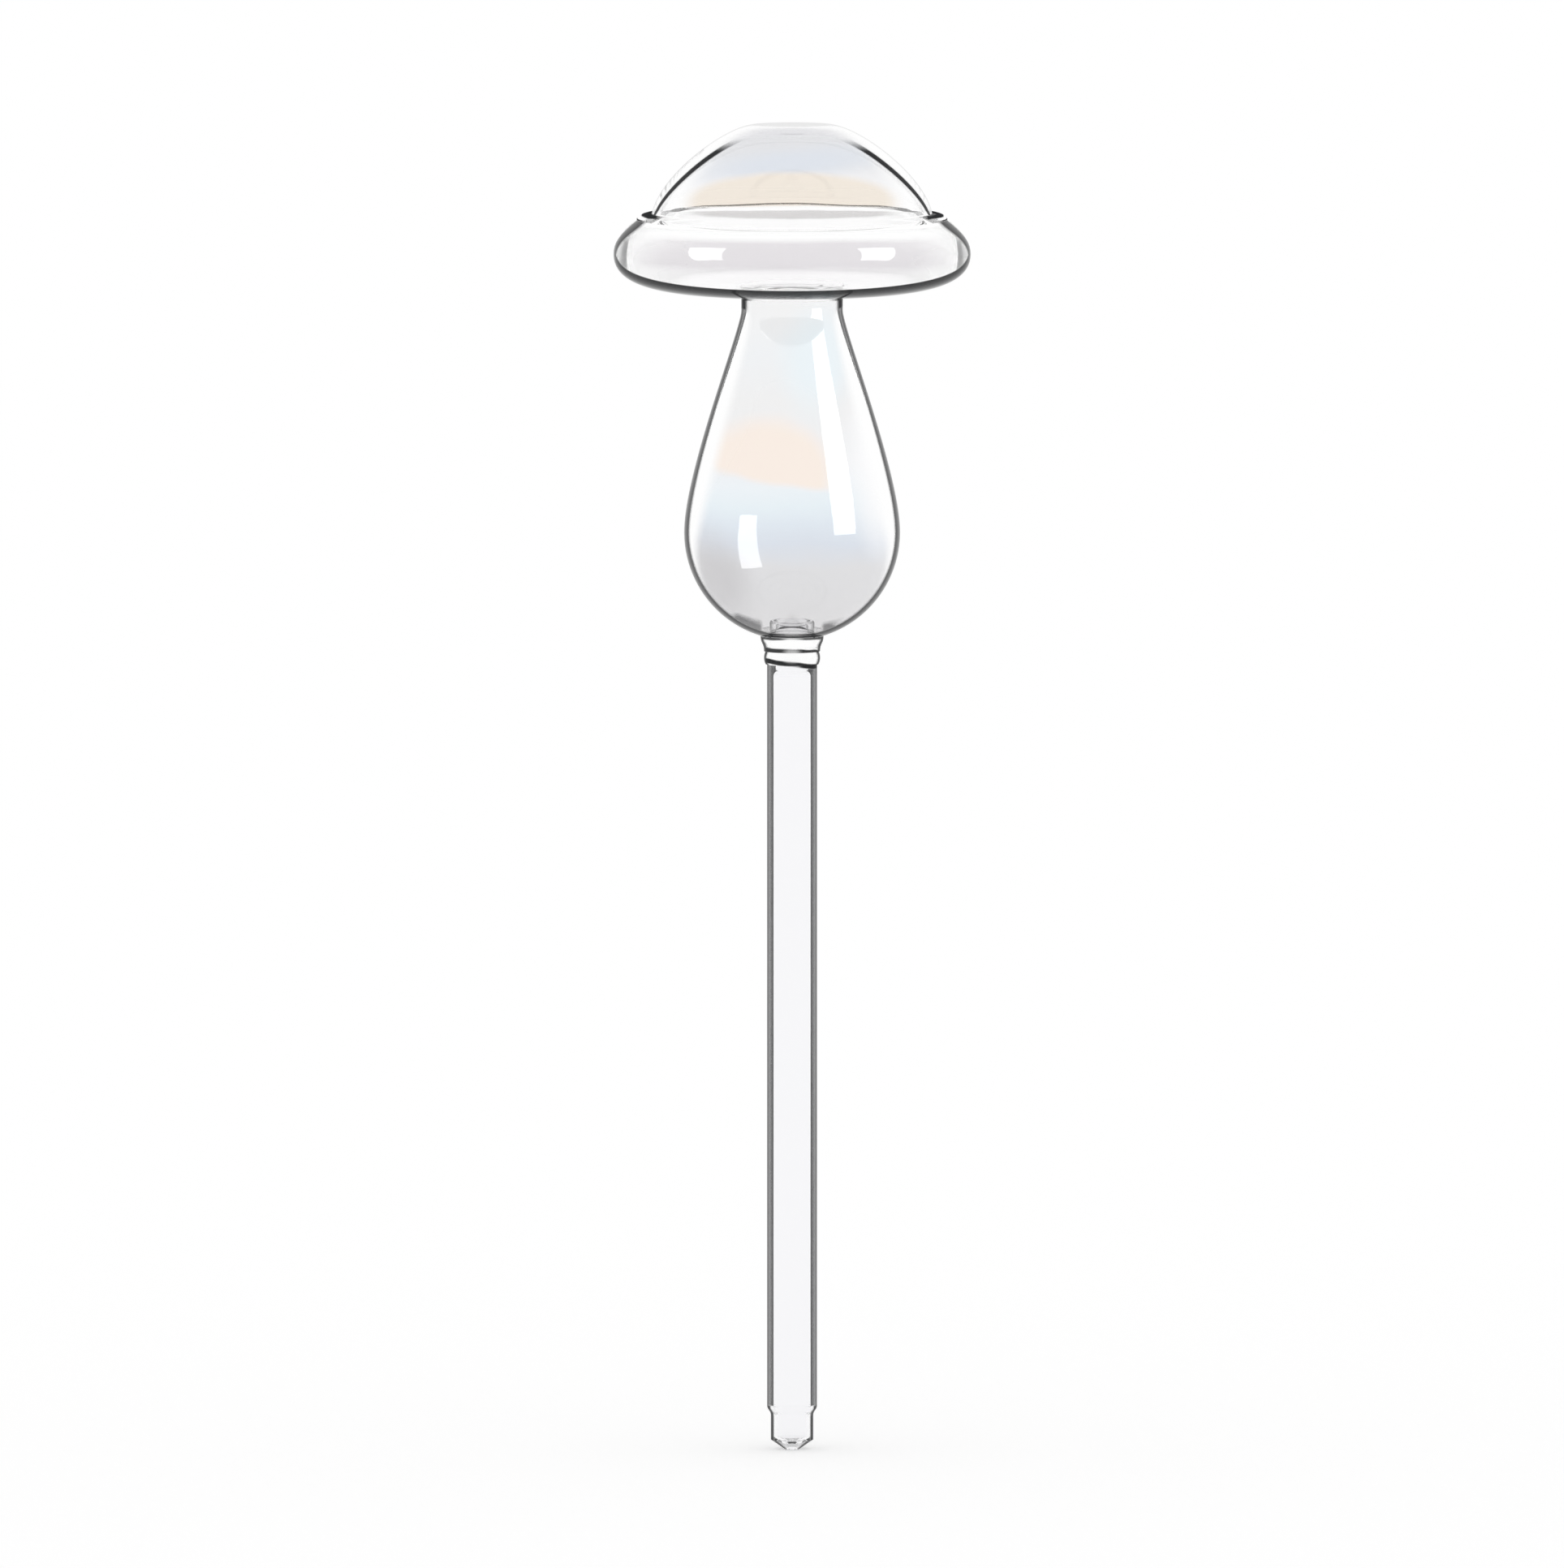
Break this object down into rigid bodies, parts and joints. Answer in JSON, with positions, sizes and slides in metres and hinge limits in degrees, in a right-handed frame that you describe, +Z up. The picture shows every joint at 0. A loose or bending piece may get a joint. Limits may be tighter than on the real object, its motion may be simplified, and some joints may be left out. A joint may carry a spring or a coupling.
{
  "type": "watering globe",
  "caption": "Mushroom-shaped glass watering globe: a hollow domed cap on a pear-shaped stem bulb, with a long hollow soil spike that ends in a drip nozzle.",
  "frame": {"origin": "centre of the drip nozzle's tip, the lowest point of the part, on the axis of turning", "axes": "+Z up along the axis of turning, from the drip tip to the crown of the cap; X and Y are free"},
  "size_m": [0.071, 0.071, 0.2642],
  "materials": {
    "lustre_glass": "clear blown borosilicate glass with a faint pearly lustre film",
    "clear_glass": "clear drawn borosilicate tube, fire polished",
    "weld_glass": "clear borosilicate glass melted into beads and seals"
  },
  "bodies": {
    "root": {"cap_dome": "lustre_glass", "cap_brim": "lustre_glass", "stem_bulb": "lustre_glass", "spike_tube": "clear_glass", "drip_nozzle": "clear_glass", "cap_seam": "weld_glass", "neck_weld": "weld_glass", "neck_collar": "weld_glass", "weld_bead": "weld_glass"}
  },
  "joints": []
}
